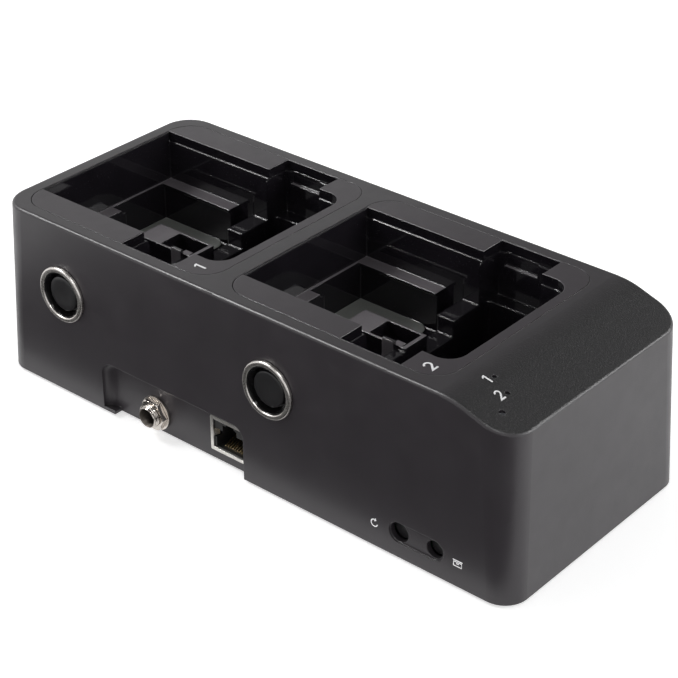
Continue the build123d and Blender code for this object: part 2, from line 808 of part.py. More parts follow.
button_board_y = -39.6
with BuildPart() as button_board:
    with BuildSketch(front_plane(button_board_y)) as board_outline:
        with Locations(((61.0 + 88.5) / 2, -side_button_z)):
            Rectangle(34.0, 11.0)
        fillet(board_outline.vertices(), 1.2)
    extrude(amount=1.0)
save(button_board.part, "button_board")

side_switches = []
for button_x in (reset_x, storage_x):
    with BuildPart() as tact_switch:
        with BuildSketch(front_plane(-40.7)) as case:
            with Locations((button_x, -side_button_z)):
                Rectangle(4.6, 4.6)
            fillet(case.vertices(), 0.4)
        extrude(amount=1.1)
        with BuildSketch(front_plane(-40.95)):
            with Locations((button_x, -side_button_z)):
                Circle(1.2)
        extrude(amount=0.5)
    side_switches.append(tact_switch.part)
save(Compound(children=side_switches), "side_switches")


# ---------------------------------------------------------------- power jack
def jack_ring(radius, hole, start, length):
    """Round collar on the jack axis."""
    with BuildPart() as collar:
        with BuildSketch(front_plane(start)):
            with Locations((jack_x, -jack_z)):
                Circle(radius)
                Circle(hole, mode=Mode.SUBTRACT)
        extrude(amount=length)
    return collar.part


with BuildPart() as jack_barrel:
    add(jack_ring(jack_thread_radius - 0.3, 3.15, jack_tip_y, 17.0))
    thread_pitch = 0.79
    thread_count = 8
    for turn in range(thread_count):
        crest = jack_tip_y + 0.35 + turn * thread_pitch
        with BuildSketch(Plane(origin=(jack_x, 0, jack_z), x_dir=(1, 0, 0), z_dir=(0, 0, 1))):
            with BuildLine():
                Polyline(
                    (jack_thread_radius - 0.35, crest - 0.34),
                    (jack_thread_radius, crest - 0.06),
                    (jack_thread_radius, crest + 0.06),
                    (jack_thread_radius - 0.35, crest + 0.34),
                    (jack_thread_radius - 0.35, crest - 0.34),
                )
            make_face()
        revolve(axis=Axis((jack_x, 0, jack_z), (0, 1, 0)))
    with BuildSketch(front_plane(-40.6)):
        with Locations((jack_x, -jack_z)):
            RegularPolygon(4.85, 6)
            Circle(3.15, mode=Mode.SUBTRACT)
    extrude(amount=1.6)
save(jack_barrel.part, "jack_barrel")

save(jack_ring(6.2, jack_thread_radius + 0.05, -44.1, 1.05), "jack_washer")

with BuildPart() as jack_nut:
    with BuildSketch(front_plane(-46.1)):
        with Locations((jack_x, -jack_z)):
            RegularPolygon(5.75, 6)
            Circle(jack_thread_radius + 0.04, mode=Mode.SUBTRACT)
    extrude(amount=1.9)
    with BuildSketch(Plane(origin=(jack_x, 0, jack_z), x_dir=(1, 0, 0), z_dir=(0, 0, 1))):
        with BuildLine():
            Polyline((5.1, -46.2), (6.2, -46.2), (6.2, -45.5), (5.1, -46.2))
        make_face()
    revolve(axis=Axis((jack_x, 0, jack_z), (0, 1, 0)), mode=Mode.SUBTRACT)
save(jack_nut.part, "jack_nut")

with BuildPart() as jack_insulator:
    with BuildSketch(front_plane(-38.4)):
        with Locations((jack_x, -jack_z)):
            Circle(3.1)
    extrude(amount=6.0)
    with BuildSketch(front_plane(-31.3)):
        with Locations((jack_x, -jack_z)):
            Circle(3.6)
    extrude(amount=1.2)
    with Locations((jack_x, -31.6, jack_z)):
        Cylinder(3.1, 2.0, rotation=(90, 0, 0))
    with BuildSketch(front_plane(-40)):
        with Locations((jack_x, -jack_z)):
            Circle(1.03)
    extrude(amount=12, mode=Mode.SUBTRACT)
save(jack_insulator.part, "jack_insulator")

with BuildPart() as jack_pin:
    with BuildSketch(front_plane(-45.2)):
        with Locations((jack_x, -jack_z)):
            Circle(1.0)
    extrude(amount=17.0)
    fillet(jack_pin.faces().sort_by(Axis.Y)[0].edges(), 0.6)
save(jack_pin.part, "jack_pin")


# ---------------------------------------------------------------- network socket
socket_front = -43.5
socket_depth = 20.0
socket_middle_z = socket_bottom + socket_height / 2
with BuildPart() as socket_shield:
    with BuildSketch(front_plane(socket_front)) as shield_outline:
        with Locations((socket_centre_x, -socket_middle_z)):
            Rectangle(socket_width, socket_height)
        fillet(shield_outline.vertices(), 0.5)
    extrude(amount=socket_depth)
    with BuildSketch(front_plane(socket_front - 1)):
        with Locations((socket_centre_x, -socket_middle_z)):
            Rectangle(socket_width - 2.4, socket_height - 2.4)
    extrude(amount=4.0, mode=Mode.SUBTRACT)
    with BuildSketch(front_plane(socket_front + 0.5)):
        with Locations((socket_centre_x, -socket_middle_z)):
            Rectangle(socket_width - 0.6, socket_height - 0.6)
    extrude(amount=socket_depth - 1.0, mode=Mode.SUBTRACT)
    # grounding springs folded in on both sides of the mouth
    for side in (-1, 1):
        with BuildSketch(Plane.XY.offset(socket_middle_z - 1.2)):
            with BuildLine():
                mouth_x = socket_centre_x + side * (socket_width / 2 - 1.25)
                Polyline(
                    (mouth_x, socket_front + 0.05),
                    (mouth_x + side * 0.3, socket_front + 0.05),
                    (mouth_x + side * 0.3, socket_front + 0.45),
                    (mouth_x - side * 0.5, socket_front + 2.6),
                    (mouth_x - side * 0.7, socket_front + 2.4),
                    (mouth_x, socket_front + 0.05),
                )
            make_face()
        extrude(amount=2.4)
    # side lugs resting on the board
    for side in (-1, 1):
        with Locations((socket_centre_x + side * (socket_width / 2 + 0.7), -30.0, board_top + 0.35)):
            Box(1.8, 5.0, 0.5)
save(socket_shield.part, "socket_shield")

plug_width = 11.9
plug_height = 7.0
plug_floor = socket_bottom + 1.5
with BuildPart() as socket_body:
    with BuildSketch(front_plane(socket_front + 0.6)):
        with Locations((socket_centre_x, -socket_middle_z)):
            Rectangle(socket_width - 0.8, socket_height - 0.8)
    extrude(amount=socket_depth - 1.7)
    # mouth for the plug, with the latch notch above it
    with BuildSketch(front_plane(socket_front)):
        with Locations((socket_centre_x, -(plug_floor + plug_height / 2))):
            Rectangle(plug_width, plug_height)
        with Locations((socket_centre_x, -(plug_floor + plug_height + 1.0))):
            Rectangle(6.2, 2.4)
        with Locations((socket_centre_x, -(plug_floor + plug_height + 2.4))):
            Rectangle(3.4, 1.6)
    extrude(amount=14.5, mode=Mode.SUBTRACT)
    # room for the grounding springs beside the mouth
    with Locations((socket_centre_x, socket_front + 1.8, socket_middle_z)):
        Box(15.0, 3.6, 3.0, mode=Mode.SUBTRACT)
save(socket_body.part, "socket_body")

contact_wires = []
for i in range(8):
    wire_x = socket_centre_x + (i - 3.5) * 1.016
    with BuildPart() as contact_wire:
        with BuildSketch(Plane.YZ.offset(wire_x - 0.18)):
            with BuildLine():
                Polyline(
                    (socket_front + 2.2, plug_floor + 0.03),
                    (socket_front + 2.7, plug_floor + 0.03),
                    (socket_front + 9.6, plug_floor + 2.7),
                    (socket_front + 9.4, plug_floor + 3.1),
                    (socket_front + 2.2, plug_floor + 0.4),
                    (socket_front + 2.2, plug_floor + 0.03),
                )
            make_face()
        extrude(amount=0.36)
    contact_wires.append(contact_wire.part)
save(Compound(children=contact_wires), "socket_contacts")


# ---------------------------------------------------------------- base plate, feet and screws
base_bottom = 1.2
base_thickness = 1.8
base_top = base_bottom + base_thickness
with BuildPart() as base_plate:
    with BuildSketch(Plane.XY.offset(base_bottom)):
        RectangleRounded(body_length - 2 * wall - 0.6, body_width - 2 * wall - 0.6, 5.7)
        with Locations(((recess_left + recess_right) / 2, -44.0)):
            Rectangle(recess_right - recess_left + 4.8, 6.6, mode=Mode.SUBTRACT)
    extrude(amount=base_thickness)
    # stiffening rim
    with BuildSketch(Plane.XY.offset(base_top)):
        with Locations((0, 42.1), (62, -42.1), (62, 42.1), (-50, 42.1)):
            Rectangle(24.0, 1.4)
    extrude(amount=2.0)
    # standoffs under the main board
    with BuildSketch(Plane.XY.offset(base_top)):
        with Locations(*board_screws_at):
            Circle(2.6)
    extrude(amount=board_bottom - base_top)
    # locating recesses for the rubber feet
    with BuildSketch(Plane.XY.offset(base_bottom)):
        with Locations(*feet_at):
            Circle(6.6)
    extrude(amount=0.6, mode=Mode.SUBTRACT)
    # ventilation slots
    with BuildSketch(Plane.XY.offset(base_bottom)):
        with GridLocations(6.0, 26.0, 9, 2):
            SlotOverall(16.0, 2.2, rotation=90)
    extrude(amount=base_thickness, mode=Mode.SUBTRACT)
base_solid = base_plate.part
screw_wells = []
for screw_x, screw_y in housing_screws:
    screw_wells.append(Pos(screw_x, screw_y, base_bottom + 0.45) * Cylinder(3.2, 0.9))
    screw_wells.append(Pos(screw_x, screw_y, base_bottom + 1.2) * Cylinder(1.6, 2.4))
pilot_depth = 2.4
for screw_x, screw_y in board_screws_at:
    screw_wells.append(Pos(screw_x, screw_y, board_bottom - pilot_depth / 2) * Cylinder(0.95, pilot_depth))
for screw_well in screw_wells:
    base_solid = base_solid - screw_well
save(base_solid, "base_plate")

rubber_feet = []
for foot_x, foot_y in feet_at:
    with BuildPart() as foot:
        with BuildSketch(Plane.XY):
            with Locations((foot_x, foot_y)):
                Circle(6.4)
        extrude(amount=base_bottom + 0.6)
        fillet(foot.faces().sort_by(Axis.Z)[0].edges(), 0.5)
    rubber_feet.append(foot.part)
save(Compound(children=rubber_feet), "rubber_feet")


def make_screw(head_radius, head_height, shank_radius, shank_length):
    """Flat-topped screw hanging from its head, with a cross recess."""
    with BuildPart() as screw:
        with BuildSketch(Plane.XY):
            Circle(head_radius)
        extrude(amount=head_height)
        with BuildSketch(Plane.XY.offset(head_height)):
            Circle(shank_radius)
        extrude(amount=shank_length)
        fillet(screw.faces().sort_by(Axis.Z)[0].edges(), 0.2)
        with BuildSketch(Plane.XY):
            Rectangle(head_radius * 1.1, 0.5)
            Rectangle(0.5, head_radius * 1.1)
        extrude(amount=head_height * 0.6, mode=Mode.SUBTRACT)
    return screw.part


base_screw = make_screw(2.8, 0.75, 1.2, 11.0)
save(
    Compound(children=[Location((x, y, base_bottom + 0.1)) * base_screw for x, y in housing_screws]),
    "base_screws",
)

with BuildPart() as rating_label:
    with BuildSketch(Plane.XY.offset(base_bottom - 0.12)):
        with Locations((-60.0, 0)):
            RectangleRounded(40.0, 30.0, 1.5)
    extrude(amount=0.1)
save(rating_label.part, "rating_label")


# ---------------------------------------------------------------- main board and what stands on it
with BuildPart() as main_board:
    with BuildSketch(Plane.XY.offset(board_bottom)):
        with Locations((-8.0, 1.0)):
            RectangleRounded(104.0, 68.0, 3.0)
        with Locations((jack_x, -33.0)):
            Rectangle(16.0, 20.0, mode=Mode.SUBTRACT)
        with Locations((socket_centre_x, -33.0)):
            Rectangle(socket_width + 0.5, 20.0, mode=Mode.SUBTRACT)
        with Locations(*board_screws_at):
            Circle(1.3, mode=Mode.SUBTRACT)
    extrude(amount=board_thickness)
save(main_board.part, "main_board")

board_screw = make_screw(2.2, 0.9, 0.9, 3.4)
turn_over = Location((0, 0, 0), (180, 0, 0))
save(
    Compound(
        children=[
            Location((x, y, board_top + 0.9)) * turn_over * board_screw for x, y in board_screws_at
        ]
    ),
    "board_screws",
)

with BuildPart() as transformer:
    with Locations((-22.6, 2.0, board_top + 8.0)):
        Box(9.0, 18.0, 16.0)
    with Locations((-22.6, 2.0, board_top + 8.0)):
        Box(9.8, 12.0, 10.0)
save(transformer.part, "power_transformer")

capacitors = []
for cap_x, cap_y, cap_radius, cap_height in (
    (-22.6, 20.0, 4.2, 18.0),
    (-22.6, 31.0, 4.2, 18.0),
    (22.0, 24.0, 3.2, 9.0),
    (30.0, 24.0, 3.2, 9.0),
):
    with BuildPart() as capacitor:
        with BuildSketch(Plane.XY.offset(board_top)):
            with Locations((cap_x, cap_y)):
                Circle(cap_radius)
        extrude(amount=cap_height)
        fillet(capacitor.edges().filter_by(GeomType.CIRCLE), 0.5)
        with BuildSketch(Plane.XY.offset(board_top + 1.6)):
            with Locations((cap_x, cap_y)):
                Circle(cap_radius + 1)
                Circle(cap_radius - 0.3, mode=Mode.SUBTRACT)
        extrude(amount=0.6, mode=Mode.SUBTRACT)
    capacitors.append(capacitor.part)
save(Compound(children=capacitors), "capacitors")

chips = []
for chip_x, chip_y, chip_length, chip_width in (
    (8.0, 8.0, 14.0, 14.0),
    (-6.0, 26.0, 8.0, 6.0),
    (-45.0, 10.0, 10.0, 7.0),
    (-45.0, -6.0, 10.0, 7.0),
    (28.0, -8.0, 10.0, 7.0),
    (-8.0, -8.0, 7.0, 7.0),
):
    with BuildPart() as chip:
        with Locations((chip_x, chip_y, board_top + 0.65)):
            Box(chip_length, chip_width, 1.1)
        chamfer(chip.faces().sort_by(Axis.Z)[-1].edges(), 0.2)
        with Locations((chip_x, chip_y, board_top + 0.35)):
            with GridLocations(1.2, chip_width + 1.0, int(chip_length / 1.2), 2):
                Box(0.5, 1.4, 0.3)
    chips.append(chip.part)
save(Compound(children=chips), "board_chips")

with BuildPart() as heat_sink:
    with Locations((8.0, 8.0, board_top + 1.2 + 0.9)):
        Box(16.0, 16.0, 1.6)
    with Locations((8.0, 8.0, board_top + 1.2 + 4.2)):
        with GridLocations(2.9, 0, 6, 1):
            Box(0.9, 16.0, 6.0)
save(heat_sink.part, "heat_sink")


# ---------------------------------------------------------------- indicator lights
lamp_board_z = 50.0
with BuildPart() as lamp_board:
    with BuildSketch(Plane.XY.offset(lamp_board_z - 1.2)) as lamp_outline:
        with Locations((90.0, -27.0)):
            Rectangle(18.6, 26.0)
        fillet(lamp_outline.vertices(), 1.0)
    extrude(amount=1.2)
save(lamp_board.part, "indicator_board")

lamps = []
light_pipes = []
for (spot_x, spot_y), spot_radius in zip(indicator_spots, indicator_radii):
    with BuildPart() as lamp:
        with Locations((spot_x, spot_y, lamp_board_z + 0.45)):
            Box(1.8, 1.4, 0.8)
    lamps.append(lamp.part)
    with BuildPart() as pipe:
        with BuildSketch(Plane.XY.offset(lamp_board_z + 1.0)):
            with Locations((spot_x, spot_y)):
                Circle(spot_radius - 0.05)
        extrude(amount=slope_surface(spot_x) - 0.7 - lamp_board_z - 1.0)
        with BuildSketch(Plane.XY.offset(lamp_board_z + 1.0)):
            with Locations((spot_x, spot_y)):
                Circle(spot_radius + 0.7)
        extrude(amount=1.2)
    light_pipes.append(pipe.part)
save(Compound(children=lamps), "indicator_lamps")
save(Compound(children=light_pipes), "light_pipes")

with BuildPart() as lamp_bracket:
    with Locations((98.6, -27.0, 25.9), (81.4, -27.0, 25.9)):
        Box(1.4, 15.6, 45.6)
    with Locations((90.0, -27.0, base_top + 0.8)):
        Box(18.6, 15.6, 1.4)
save(lamp_bracket.part, "indicator_bracket")

with BuildPart() as flat_cable:
    with BuildSketch(Plane.XZ.offset(8)):
        with BuildLine() as cable_path:
            Polyline(
                (40.0, board_top + 0.4),
                (70.0, board_top + 0.4),
                (78.9, 12.0),
                (78.9, 48.4),
                (82.5, 48.4),
            )
        trace(line_width=0.35)
    extrude(amount=10.0)
save(flat_cable.part, "flat_cable")
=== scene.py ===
import json
import math

import bmesh
import bpy
from mathutils import Matrix, Vector


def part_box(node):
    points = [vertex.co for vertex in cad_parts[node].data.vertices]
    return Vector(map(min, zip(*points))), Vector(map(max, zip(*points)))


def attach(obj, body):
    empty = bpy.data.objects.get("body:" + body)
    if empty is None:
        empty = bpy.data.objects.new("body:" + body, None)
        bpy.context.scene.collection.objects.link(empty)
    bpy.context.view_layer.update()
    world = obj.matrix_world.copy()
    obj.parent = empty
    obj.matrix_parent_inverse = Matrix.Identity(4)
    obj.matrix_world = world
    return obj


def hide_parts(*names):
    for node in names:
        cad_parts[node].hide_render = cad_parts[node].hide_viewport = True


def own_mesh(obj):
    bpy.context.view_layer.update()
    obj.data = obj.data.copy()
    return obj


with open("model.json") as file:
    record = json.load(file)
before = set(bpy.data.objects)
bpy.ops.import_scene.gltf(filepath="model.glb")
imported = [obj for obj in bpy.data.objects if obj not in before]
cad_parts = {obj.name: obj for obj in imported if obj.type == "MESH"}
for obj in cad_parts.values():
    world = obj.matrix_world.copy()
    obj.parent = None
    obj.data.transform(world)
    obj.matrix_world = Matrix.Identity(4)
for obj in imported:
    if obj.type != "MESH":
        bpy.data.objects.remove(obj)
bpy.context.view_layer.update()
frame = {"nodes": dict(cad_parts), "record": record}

MM = 0.001
scene = bpy.context.scene


# ---------------------------------------------------------------- places read from the frame
def middle(node):
    """Centre of a CAD node's box."""
    low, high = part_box(node)
    return (low + high) / 2


mounts = {mount["name"]: Vector(mount["pos_m"]) for mount in frame["record"]["mounts"]}


# ---------------------------------------------------------------- node helpers
class Nodes:
    """Short calls that build one material's node tree."""

    def __init__(self, name):
        self.material = bpy.data.materials.new(name)
        self.material.use_nodes = True
        self.tree = self.material.node_tree
        self.tree.nodes.clear()
        self.output = self.tree.nodes.new("ShaderNodeOutputMaterial")
        self.shader = self.tree.nodes.new("ShaderNodeBsdfPrincipled")
        self.tree.links.new(self.shader.outputs[0], self.output.inputs["Surface"])
        self.place = self.tree.nodes.new("ShaderNodeTexCoord").outputs["Object"]

    def link(self, start, end):
        """Joins an output socket to an input socket."""
        self.tree.links.new(start, end)

    def scaled(self, factors):
        """Object coordinates stretched by three factors."""
        mapping = self.tree.nodes.new("ShaderNodeMapping")
        mapping.inputs["Scale"].default_value = factors
        self.link(self.place, mapping.inputs["Vector"])
        return mapping.outputs[0]

    def noise(self, size, detail=3.0, rough=0.55, stretch=(1, 1, 1)):
        """Noise whose blobs are about size metres across."""
        node = self.tree.nodes.new("ShaderNodeTexNoise")
        node.inputs["Scale"].default_value = 1.0 / size
        node.inputs["Detail"].default_value = detail
        node.inputs["Roughness"].default_value = rough
        self.link(self.scaled(stretch), node.inputs["Vector"])
        return node.outputs["Fac"]

    def cells(self, size, feature="F1"):
        """Voronoi cells of about size metres."""
        node = self.tree.nodes.new("ShaderNodeTexVoronoi")
        node.feature = feature
        node.inputs["Scale"].default_value = 1.0 / size
        self.link(self.place, node.inputs["Vector"])
        return node.outputs["Distance"]

    def spread(self, value, low, high, start=0.3, end=0.7):
        """Maps value from start..end to low..high."""
        node = self.tree.nodes.new("ShaderNodeMapRange")
        node.inputs["From Min"].default_value = start
        node.inputs["From Max"].default_value = end
        node.inputs["To Min"].default_value = low
        node.inputs["To Max"].default_value = high
        self.link(value, node.inputs["Value"])
        return node.outputs["Result"]

    def blend(self, factor, first, second):
        """Mixes two colours; either is a colour or a socket."""
        node = self.tree.nodes.new("ShaderNodeMix")
        node.data_type = "RGBA"
        self.link(factor, node.inputs["Factor"])
        for socket, value in ((node.inputs[6], first), (node.inputs[7], second)):
            if isinstance(value, tuple):
                socket.default_value = (*value, 1.0)
            else:
                self.link(value, socket)
        return node.outputs[2]

    def sums(self, operation, first, second):
        """One arithmetic step; either side is a number or a socket."""
        node = self.tree.nodes.new("ShaderNodeMath")
        node.operation = operation
        for socket, value in zip(node.inputs, (first, second)):
            if isinstance(value, (int, float)):
                socket.default_value = value
            else:
                self.link(value, socket)
        return node.outputs[0]

    def axes(self, vector):
        """X, Y and Z of a vector socket, by letter."""
        split = self.tree.nodes.new("ShaderNodeSeparateXYZ")
        self.link(vector, split.inputs[0])
        return split.outputs

    def facing(self):
        """Components of the true surface normal."""
        return self.axes(self.tree.nodes.new("ShaderNodeNewGeometry").outputs["True Normal"])

    def mix(self, factor, first, second):
        """Mixes two numbers held by sockets."""
        node = self.tree.nodes.new("ShaderNodeMix")
        self.link(factor, node.inputs["Factor"])
        self.link(first, node.inputs[2])
        self.link(second, node.inputs[3])
        return node.outputs[0]

    def band(self, value, low, high):
        """One where low < value < high, zero elsewhere."""
        above = self.sums("GREATER_THAN", value, low)
        return self.sums("MULTIPLY", above, self.sums("LESS_THAN", value, high))

    def rounded(self, radius):
        """Normal that softens sharp edges by radius."""
        node = self.tree.nodes.new("ShaderNodeBevel")
        node.samples = 6
        node.inputs["Radius"].default_value = radius
        return node.outputs[0]

    def bump(self, height, depth, strength, normal=None):
        """Bumped normal from a height in 0..1 that stands depth metres tall."""
        node = self.tree.nodes.new("ShaderNodeBump")
        node.inputs["Distance"].default_value = depth
        node.inputs["Strength"].default_value = strength
        self.link(height, node.inputs["Height"])
        if normal is not None:
            self.link(normal, node.inputs["Normal"])
        return node.outputs[0]

    def feed(self, colour=None, rough=None, normal=None):
        """Connects what varies over the surface to the shader."""
        if colour is not None:
            self.link(colour, self.shader.inputs["Base Color"])
        if rough is not None:
            self.link(rough, self.shader.inputs["Roughness"])
        if normal is not None:
            self.link(normal, self.shader.inputs["Normal"])

    def fix(self, **values):
        """Sets constants on the shader's own sockets."""
        for name, value in values.items():
            self.shader.inputs[name.replace("_", " ")].default_value = value


def shade(colour, factor):
    """The same colour, darker or lighter."""
    return tuple(min(1.0, channel * factor) for channel in colour)


# ---------------------------------------------------------------- materials
def moulded_plastic(name, colour, rough, grain=0.00035, edge=0.00025):
    """Spark-eroded moulded plastic: fine grain, slight mottling, faint handling marks."""
    n = Nodes(name)
    mottle = n.noise(0.018, detail=4)
    fine = n.noise(grain, detail=2, rough=0.7)
    tone = n.spread(mottle, 0.0, 1.0)
    n.feed(
        colour=n.blend(tone, shade(colour, 0.9), shade(colour, 1.12)),
        rough=n.sums(
            "ADD",
            n.spread(n.noise(0.006), rough - 0.04, rough + 0.04),
            n.spread(fine, -0.03, 0.03),
        ),
        normal=n.bump(fine, 0.000012, 0.8, n.rounded(edge)),
    )
    n.fix(IOR=1.5)
    return n.material


def housing_plastic():
    """Body plastic: fine grain all over, and a coarser sparkling texture on the sloped end."""
    n = Nodes("housing_plastic")
    slope_start = 0.0795
    slope_full = 0.089
    facing_up = n.spread(n.facing()["Z"], 0.0, 1.0, 0.7, 0.8)
    toward_end = n.spread(n.axes(n.place)["X"], 0.0, 1.0, slope_start, slope_full)
    sloped = n.sums("MULTIPLY", facing_up, toward_end)
    mottle = n.spread(n.noise(0.022, detail=4), 0.0, 1.0)
    fine = n.noise(0.0004, detail=2, rough=0.7)
    flakes = n.cells(0.00055)
    base = n.blend(mottle, (0.0175, 0.0142, 0.0176), (0.0210, 0.0172, 0.0212))
    speck = n.spread(n.noise(0.0005, detail=1), 0.0, 1.0, 0.56, 0.7)
    end_tone = n.blend(speck, (0.008, 0.0076, 0.0085), (0.028, 0.026, 0.028))
    plain_rough = n.spread(n.noise(0.007), 0.37, 0.43)
    end_rough = n.spread(flakes, 0.34, 0.48, 0.0, 0.8)
    grain = n.bump(fine, 0.000012, 0.8, n.rounded(0.00035))
    sparkle = n.bump(n.sums("MULTIPLY", flakes, sloped), 0.00009, 0.8, grain)
    n.feed(
        colour=n.blend(sloped, base, end_tone),
        rough=n.mix(sloped, plain_rough, end_rough),
        normal=sparkle,
    )
    n.fix(IOR=1.5)
    return n.material


def polished_plastic(name, colour, edge):
    """Polished black plastic: soft dust, faint flow waviness, fine hairline scuffs."""
    n = Nodes(name)
    colour_out, rough_out, normal_out = polish(n, colour, edge, 0.07)
    n.feed(colour=colour_out, rough=rough_out, normal=normal_out)
    n.fix(IOR=1.49)
    return n.material


def polish(n, colour, edge, rough):
    """Colour, roughness and normal of a polished surface."""
    dust = n.spread(n.noise(0.00045, detail=2), 0.0, 1.0, 0.68, 0.78)
    cloud = n.spread(n.noise(0.012, detail=3), 0.0, 1.0)
    scuff = n.noise(0.0009, detail=2, stretch=(1, 9, 1))
    flow = n.noise(0.009, detail=2)
    wavy = n.bump(flow, 0.00012, 0.35, n.rounded(edge))
    clean = n.blend(cloud, shade(colour, 0.8), shade(colour, 1.2))
    colour_out = n.blend(dust, clean, (0.05, 0.05, 0.052))
    rough_out = n.sums(
        "ADD",
        n.spread(scuff, rough - 0.02, rough + 0.05, 0.45, 0.75),
        n.spread(dust, 0.0, 0.2, 0.0, 1.0),
    )
    return colour_out, rough_out, n.bump(scuff, 0.000004, 0.4, wavy)


def liner_plastic():
    """Bay liner: polished walls, and fine matte lands where a transmitter rests, lighter partly by
    painted light.
    """
    n = Nodes("well_polish")
    pad_heights = (0.0328, 0.0332)
    shelf_heights = (0.0469, 0.0476)
    slot_ledge_heights = (0.05715, 0.0575)
    rib_face_places = (-0.01075, -0.01045)
    facing = n.facing()
    place = n.axes(n.place)
    level = place["Z"]
    upward = n.sums("GREATER_THAN", facing["Z"], 0.9)
    behind_middle = n.sums("GREATER_THAN", place["Y"], 0.0)
    pad = n.sums("MULTIPLY", n.band(level, *pad_heights), behind_middle)
    lands = n.sums("ADD", n.band(level, *shelf_heights), pad)
    lands = n.sums("ADD", lands, n.band(level, *slot_ledge_heights))
    lands = n.sums("MULTIPLY", lands, upward)
    forward = n.sums("LESS_THAN", facing["Y"], -0.9)
    rib_face = n.sums("MULTIPLY", n.band(place["Y"], *rib_face_places), forward)
    # Matte lands and rib face; their lighter colour below is partly painted light.
    matte_and_painted_light = n.sums("MAXIMUM", lands, rib_face)
    gloss_colour, gloss_rough, gloss_normal = polish(n, (0.0105, 0.0092, 0.0118), 0.0010, 0.06)
    grain = n.noise(0.00035, detail=2, rough=0.7)
    # Colour of the lands: partly their matte finish, partly painted light on upward faces; the pad gets
    # the most.
    land_tone_and_painted_light = n.blend(n.spread(n.noise(0.01), 0, 1), (0.125, 0.113, 0.124), (0.150, 0.137, 0.149))
    land_tone_and_painted_light = n.blend(pad, land_tone_and_painted_light, (0.26, 0.27, 0.255))
    n.feed(
        colour=n.blend(matte_and_painted_light, gloss_colour, land_tone_and_painted_light),
        rough=n.mix(matte_and_painted_light, gloss_rough, n.spread(grain, 0.40, 0.50)),
        normal=n.bump(n.sums("MULTIPLY", grain, matte_and_painted_light), 0.000014, 0.8, gloss_normal),
    )
    n.fix(IOR=1.49)
    return n.material


def bezel_plastic():
    """Bay bezel: fine matte top like the housing, polished edges like the liner and darker partly by
    painted shade.
    """
    n = Nodes("bezel_plastic")
    top = n.sums("GREATER_THAN", n.facing()["Z"], 0.6)
    gloss_colour, gloss_rough, gloss_normal = polish(n, (0.008, 0.007, 0.009), 0.0003, 0.09)
    grain = n.noise(0.00035, detail=2, rough=0.7)
    mottle = n.spread(n.noise(0.018, detail=4), 0, 1)
    # Lighter tone of the top faces; sides take the dark gloss colour: partly two finishes, partly painted
    # light and shade.
    tone = n.blend(mottle, (0.0205, 0.0152, 0.0205), (0.0240, 0.0180, 0.0240))
    n.feed(
        colour=n.blend(top, gloss_colour, tone),
        rough=n.mix(top, gloss_rough, n.spread(n.noise(0.006), 0.38, 0.44)),
        normal=n.bump(n.sums("MULTIPLY", grain, top), 0.000012, 0.8, gloss_normal),
    )
    n.fix(IOR=1.5)
    return n.material


def nickel_plate():
    """Bright nickel with fine turning marks; duller inside the jack's bore, and darkened there as painted
    shade.
    """
    n = Nodes("nickel_plate")
    axis = middle("jack_barrel")
    place = n.axes(n.place)
    across = n.sums("SUBTRACT", place["X"], axis.x)
    upright = n.sums("SUBTRACT", place["Z"], mounts["power_jack"].z)
    squares = n.sums("ADD", n.sums("POWER", across, 2.0), n.sums("POWER", upright, 2.0))
    reach = n.sums("POWER", squares, 0.5)
    # Mask of the jack's bore: rougher there, and its colour darkened as painted shade of the recess.
    bore_dull_and_shaded = n.spread(reach, 1.0, 0.0, 0.0033, 0.0035)
    marks = n.noise(0.0003, detail=3, stretch=(1, 8, 1))
    cloud = n.spread(n.noise(0.003, detail=3), 0.0, 1.0)
    plate = n.blend(cloud, (0.46, 0.43, 0.40), (0.62, 0.58, 0.54))
    n.feed(
        colour=n.blend(bore_dull_and_shaded, plate, (0.10, 0.09, 0.08)),
        rough=n.mix(bore_dull_and_shaded, n.spread(marks, 0.10, 0.20), n.spread(marks, 0.45, 0.55)),
        normal=n.bump(marks, 0.000004, 0.6, n.rounded(0.0001)),
    )
    n.fix(Metallic=1.0)
    return n.material


def metal(name, colour, rough, brush=(1, 1, 1), depth=0.000006, tarnish=0.85):
    """Plated or machined metal: directional micro scratches and a slightly uneven tone."""
    n = Nodes(name)
    lines = n.noise(0.0004, detail=3, stretch=brush)
    cloud = n.spread(n.noise(0.004, detail=3), 0.0, 1.0)
    n.feed(
        colour=n.blend(cloud, shade(colour, tarnish), colour),
        rough=n.sums("ADD", n.spread(lines, rough * 0.75, rough * 1.3), n.spread(cloud, 0.04, 0.0, 0, 1)),
        normal=n.bump(lines, depth, 0.6, n.rounded(0.0001)),
    )
    n.fix(Metallic=1.0)
    return n.material


def soft_rubber(name, colour):
    """Matte rubber with bloom and a fine pebble."""
    n = Nodes(name)
    bloom = n.spread(n.noise(0.003, detail=4), 0.0, 1.0)
    pebble = n.cells(0.0004)
    n.feed(
        colour=n.blend(bloom, shade(colour, 0.8), shade(colour, 1.5)),
        rough=n.spread(bloom, 0.68, 0.85, 0, 1),
        normal=n.bump(pebble, 0.00003, 0.7, n.rounded(0.0004)),
    )
    n.fix(Specular_IOR_Level=0.35)
    return n.material


def printed_ink(name, colour):
    """Pad-printed ink: dense, with tiny voids along the grain."""
    n = Nodes(name)
    void = n.spread(n.noise(0.00012, detail=2), 0.0, 1.0, 0.68, 0.78)
    n.feed(
        colour=n.blend(void, colour, shade(colour, 0.7)),
        rough=n.spread(void, 0.45, 0.6, 0, 1),
        normal=n.bump(n.noise(0.0002), 0.000004, 0.6),
    )
    return n.material


